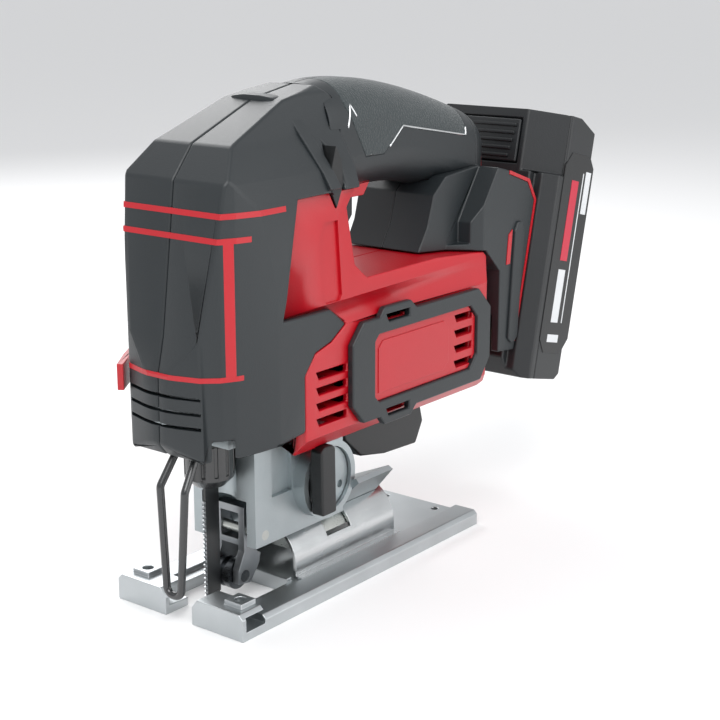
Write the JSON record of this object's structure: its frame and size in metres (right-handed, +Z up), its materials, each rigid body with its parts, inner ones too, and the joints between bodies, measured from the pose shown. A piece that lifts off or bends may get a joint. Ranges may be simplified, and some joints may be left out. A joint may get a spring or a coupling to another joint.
{
  "type": "cordless jigsaw",
  "caption": "Cordless top-handle jigsaw: reciprocating blade, orbit roller, tilting shoe, D handle with trigger, and a removable battery on the back.",
  "frame": {"origin": "where the blade line meets the sole of the shoe", "axes": "+X towards the battery, against the cutting direction; +Y to the right-hand side; +Z up along the blade"},
  "size_m": [0.2511, 0.073, 0.1959],
  "materials": {
    "cast_shoe": "sand cast, bright ground rails",
    "cast_housing": "die cast, satin",
    "saddle_steel": "pressed, bright",
    "fork_steel": "investment cast",
    "roller_steel": "hardened, ground",
    "zinc_steel": "zinc plated",
    "black_steel": "black oxide",
    "blade_steel": "blackened",
    "magnet_steel": "nickel plated",
    "winding_copper": "enamelled copper and laminations",
    "bronze": "sintered bronze",
    "terminal_brass": "tinned brass in a moulded base",
    "red_plastic": "glass-filled nylon, satin red",
    "charcoal_plastic": "moulded, fine texture",
    "black_plastic": "moulded",
    "battery_plastic": "moulded",
    "grip_rubber": "soft overmould, grained",
    "board_green": "potted circuit board",
    "cell_wrap": "heat-shrink sleeve",
    "light_lens": "clear lens"
  },
  "bodies": {
    "body": {"gear_housing": "cast_housing", "gear_cover": "cast_housing", "wire_guard": "black_steel", "fork_pivot_pin": "zinc_steel", "plunger_bush_lower": "bronze", "plunger_bush_upper": "bronze", "crank_axle": "zinc_steel", "stator": "winding_copper", "motor_bearings": "zinc_steel", "nose_cover_left": "charcoal_plastic", "nose_cover_right": "charcoal_plastic", "nose_trim": "red_plastic", "housing_left": "red_plastic", "housing_right": "red_plastic", "side_frame_left": "charcoal_plastic", "side_frame_right": "charcoal_plastic", "badge_left": "red_plastic", "badge_right": "red_plastic", "handle_left": "charcoal_plastic", "handle_right": "charcoal_plastic", "grip_left": "grip_rubber", "grip_right": "grip_rubber", "foot_left": "charcoal_plastic", "foot_right": "charcoal_plastic", "foot_trim": "red_plastic", "trigger_bezel": "red_plastic", "housing_screws": "zinc_steel", "switch_body": "black_plastic", "control_board": "board_green", "blower_duct": "black_plastic", "work_light": "light_lens", "terminal_block": "terminal_brass", "tilt_clamp_block": "zinc_steel", "tilt_clamp_bolt": "zinc_steel", "release_pin": "zinc_steel"},
    "crank": {"crank_gear": "zinc_steel", "crank_roller": "zinc_steel"},
    "rotor": {"rotor": "magnet_steel", "motor_shaft": "zinc_steel", "cooling_fan": "black_plastic"},
    "plunger": {"plunger_rod": "zinc_steel", "plunger_yoke": "zinc_steel", "clamp_core": "zinc_steel", "blade": "blade_steel"},
    "collar": {"clamp_collar": "black_steel"},
    "fork": {"orbit_fork": "fork_steel", "roller_pin": "roller_steel"},
    "roller": {"guide_roller": "roller_steel"},
    "selector": {"orbit_lever": "black_plastic", "selector_disc": "cast_housing"},
    "shoe": {"shoe": "cast_shoe", "saddle": "saddle_steel"},
    "trigger": {"trigger": "black_plastic"},
    "lock_button": {"lock_button": "black_plastic"},
    "battery": {"battery_case_front": "battery_plastic", "battery_case_back": "battery_plastic", "battery_cells": "cell_wrap"},
    "latch": {"battery_latch": "battery_plastic"},
    "release_lever": {"release_lever": "red_plastic"}
  },
  "joints": [
    {"name": "crank_turn", "type": "hinge", "parent": "body", "child": "crank", "pos_m": [0.017, 0, 0.116], "axis": [1, 0, 0], "range_deg": [0, 180]},
    {"name": "rotor_turn", "type": "hinge", "parent": "body", "child": "rotor", "pos_m": [0.06, 0, 0.09], "axis": [1, 0, 0], "range_deg": [-600, 0]},
    {"name": "plunger_stroke", "type": "slide", "parent": "body", "child": "plunger", "axis": [0, 0, 1], "range_m": [-0.0254, 0]},
    {"name": "collar_turn", "type": "hinge", "parent": "plunger", "child": "collar", "pos_m": [0, 0, 0.058], "axis": [0, 0, 1], "range_deg": [0, 45]},
    {"name": "release_turn", "type": "hinge", "parent": "body", "child": "release_lever", "pos_m": [-0.0045, 0.0342, 0.092], "axis": [0, 0, -1], "range_deg": [0, 60], "stiffness_Nm_per_rad": 0.05, "springref_deg": -11.46},
    {"name": "fork_swing", "type": "hinge", "parent": "body", "child": "fork", "pos_m": [0.013, 0, 0.028], "axis": [0, -1, 0], "range_deg": [0, 3], "stiffness_Nm_per_rad": 0.5, "springref_deg": -5.73},
    {"name": "roller_spin", "type": "hinge", "parent": "fork", "child": "roller", "pos_m": [0.01045, 0, 0.01], "axis": [0, 1, 0], "continuous": true},
    {"name": "selector_turn", "type": "hinge", "parent": "body", "child": "selector", "pos_m": [0.045, -0.019, 0.043], "axis": [0, -1, 0], "range_deg": [0, 40]},
    {"name": "shoe_tilt", "type": "hinge", "parent": "body", "child": "shoe", "pos_m": [0.0585, 0, 0.0097], "axis": [1, 0, 0], "range_deg": [-45, 45]},
    {"name": "trigger_pull", "type": "slide", "parent": "body", "child": "trigger", "axis": [0, 0, 1], "range_m": [0, 0.005], "stiffness_N_per_m": 600, "springref_m": -0.002},
    {"name": "lock_slide", "type": "slide", "parent": "body", "child": "lock_button", "axis": [0, 1, 0], "range_m": [0, 0.0035], "stiffness_N_per_m": 400, "springref_m": -0.002},
    {"name": "battery_slide", "type": "slide", "parent": "body", "child": "battery", "axis": [0.2284, 0, 0.9736], "range_m": [0, 0.115]},
    {"name": "latch_press", "type": "slide", "parent": "battery", "child": "latch", "axis": [0.9736, 0, -0.2284], "range_m": [0, 0.003], "stiffness_N_per_m": 500, "springref_m": -0.002}
  ],
  "couplings": [
    {"joint": "plunger_stroke", "follows": "crank_turn", "m_per_rad": -0.0080851},
    {"joint": "rotor_turn", "follows": "crank_turn", "ratio": -3.3333},
    {"joint": "collar_turn", "follows": "release_turn", "ratio": 0.75}
  ]
}
